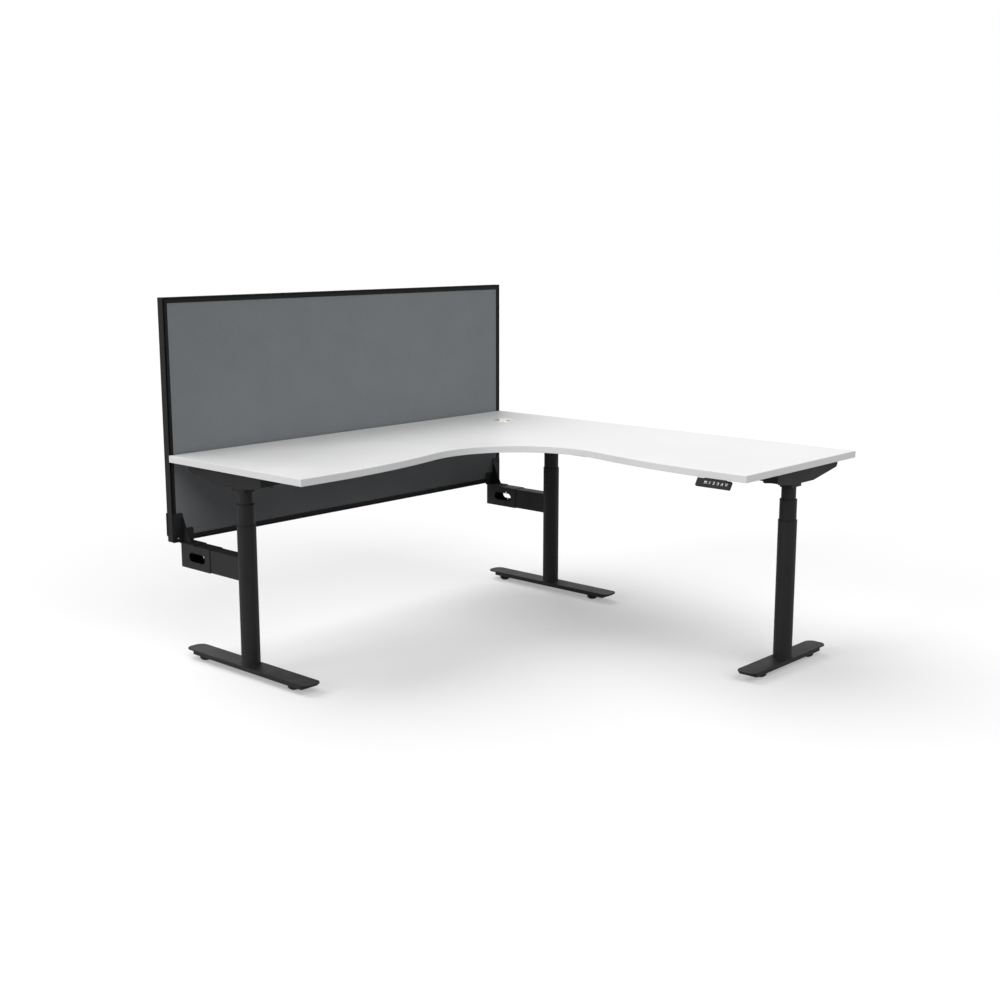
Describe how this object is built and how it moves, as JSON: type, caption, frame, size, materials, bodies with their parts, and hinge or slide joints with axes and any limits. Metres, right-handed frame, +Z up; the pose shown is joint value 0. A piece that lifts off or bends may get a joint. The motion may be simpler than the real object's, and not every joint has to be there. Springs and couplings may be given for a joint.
{
  "type": "height-adjustable corner workstation",
  "caption": "L-shaped sit-stand desk on telescopic columns with flat feet, a cloth screen on box arms along one back edge, a cable grommet and a keyed handset.",
  "frame": {"origin": "middle of the bounding box's footprint, on the floor", "axes": "+Z up, +X along the screen from the left wing's end to the corner, +Y from the user towards the screen"},
  "size_m": [1.803, 1.845, 1.3425],
  "materials": {
    "white_laminate": "satin laminate over particle board",
    "edge_plastic": "satin edge band",
    "black_powder_coat": "fine-textured matt powder coat on steel",
    "black_anodised": "satin black anodised extrusion",
    "black_plastic": "fine-grained moulded plastic",
    "key_plastic": "smooth satin",
    "zinc_steel": "zinc plated",
    "black_zinc": "black zinc plated screws and nuts",
    "cream_plastic": "satin moulded plastic",
    "screen_cloth": "tight woven grey cloth",
    "panel_core": "soft fibre board"
  },
  "bodies": {
    "base": {"foot_left": "black_powder_coat", "foot_corner": "black_powder_coat", "foot_right": "black_powder_coat", "outer_tube_left": "black_powder_coat", "outer_tube_corner": "black_powder_coat", "outer_tube_right": "black_powder_coat", "outer_collars": "black_plastic", "push_tubes": "zinc_steel", "arm_stubs": "black_powder_coat", "arm_sleeve_left": "black_powder_coat", "arm_sleeve_corner": "black_powder_coat", "arm_plugs": "black_plastic", "screen_bracket_left": "black_powder_coat", "screen_bracket_corner": "black_powder_coat", "clamp_plates": "black_powder_coat", "bracket_bolts": "black_zinc", "frame_top": "black_anodised", "frame_bottom": "black_anodised", "frame_left": "black_anodised", "frame_right": "black_anodised", "screen_core": "panel_core", "fabric_front": "screen_cloth", "fabric_back": "screen_cloth"},
    "middle_stage": {"middle_tube_left": "black_powder_coat", "middle_tube_corner": "black_powder_coat", "middle_tube_right": "black_powder_coat", "middle_collars": "black_plastic", "middle_guides": "black_plastic", "carrier_tubes": "zinc_steel", "hollow_spindles": "zinc_steel"},
    "desktop": {"worktop": "white_laminate", "edge_band": "edge_plastic", "support_arm_left": "black_powder_coat", "support_arm_corner": "black_powder_coat", "support_arm_right": "black_powder_coat", "rails_left_wing": "black_powder_coat", "rails_right_wing": "black_powder_coat", "inner_tube_left": "black_powder_coat", "inner_tube_corner": "black_powder_coat", "inner_tube_right": "black_powder_coat", "inner_guides": "black_plastic", "motor_units": "black_plastic", "drive_spindles": "zinc_steel", "control_box": "black_plastic", "handset_case": "black_plastic", "grommet_ring": "cream_plastic"},
    "grommet_cap": {"grommet_cap": "cream_plastic"},
    "glide_left_back": {"glide_left_back": "black_plastic"},
    "glide_left_front": {"glide_left_front": "black_plastic"},
    "glide_corner_back": {"glide_corner_back": "black_plastic"},
    "glide_corner_front": {"glide_corner_front": "black_plastic"},
    "glide_right_back": {"glide_right_back": "black_plastic"},
    "glide_right_front": {"glide_right_front": "black_plastic"},
    "key_memory": {"key_memory": "key_plastic"},
    "key_one": {"key_one": "key_plastic"},
    "key_two": {"key_two": "key_plastic"},
    "key_three": {"key_three": "key_plastic"},
    "key_up": {"key_up": "key_plastic"},
    "key_down": {"key_down": "key_plastic"}
  },
  "joints": [
    {"name": "desk_lift", "type": "slide", "parent": "base", "child": "desktop", "axis": [0, 0, 1], "range_m": [-0.086, 0.51]},
    {"name": "middle_lift", "type": "slide", "parent": "base", "child": "middle_stage", "axis": [0, 0, 1], "range_m": [-0.043, 0.255]},
    {"name": "glide_left_back_turn", "type": "hinge", "parent": "base", "child": "glide_left_back", "pos_m": [-0.8375, 0.7885, 0], "axis": [0, 0, 1], "continuous": true},
    {"name": "glide_left_front_turn", "type": "hinge", "parent": "base", "child": "glide_left_front", "pos_m": [-0.8375, 0.2735, 0], "axis": [0, 0, 1], "continuous": true},
    {"name": "glide_corner_back_turn", "type": "hinge", "parent": "base", "child": "glide_corner_back", "pos_m": [0.8345, 0.7885, 0], "axis": [0, 0, 1], "continuous": true},
    {"name": "glide_corner_front_turn", "type": "hinge", "parent": "base", "child": "glide_corner_front", "pos_m": [0.8345, 0.2735, 0], "axis": [0, 0, 1], "continuous": true},
    {"name": "glide_right_back_turn", "type": "hinge", "parent": "base", "child": "glide_right_back", "pos_m": [0.717, -0.8585, 0], "axis": [0, 0, 1], "continuous": true},
    {"name": "glide_right_front_turn", "type": "hinge", "parent": "base", "child": "glide_right_front", "pos_m": [0.387, -0.8585, 0], "axis": [0, 0, 1], "continuous": true},
    {"name": "grommet_cap_turn", "type": "hinge", "parent": "desktop", "child": "grommet_cap", "pos_m": [0.6485, 0.6275, 0.769], "axis": [0, 0, 1], "continuous": true},
    {"name": "key_memory_press", "type": "slide", "parent": "desktop", "child": "key_memory", "axis": [0.8387, 0, -0.5446], "range_m": [0, 0.0008], "stiffness_N_per_m": 400},
    {"name": "key_one_press", "type": "slide", "parent": "desktop", "child": "key_one", "axis": [0.8387, 0, -0.5446], "range_m": [0, 0.0008], "stiffness_N_per_m": 400},
    {"name": "key_two_press", "type": "slide", "parent": "desktop", "child": "key_two", "axis": [0.8387, 0, -0.5446], "range_m": [0, 0.0008], "stiffness_N_per_m": 400},
    {"name": "key_three_press", "type": "slide", "parent": "desktop", "child": "key_three", "axis": [0.8387, 0, -0.5446], "range_m": [0, 0.0008], "stiffness_N_per_m": 400},
    {"name": "key_up_press", "type": "slide", "parent": "desktop", "child": "key_up", "axis": [0.8387, 0, -0.5446], "range_m": [0, 0.0008], "stiffness_N_per_m": 400},
    {"name": "key_down_press", "type": "slide", "parent": "desktop", "child": "key_down", "axis": [0.8387, 0, -0.5446], "range_m": [0, 0.0008], "stiffness_N_per_m": 400}
  ],
  "couplings": [
    {"joint": "middle_lift", "follows": "desk_lift", "ratio": 0.5}
  ]
}
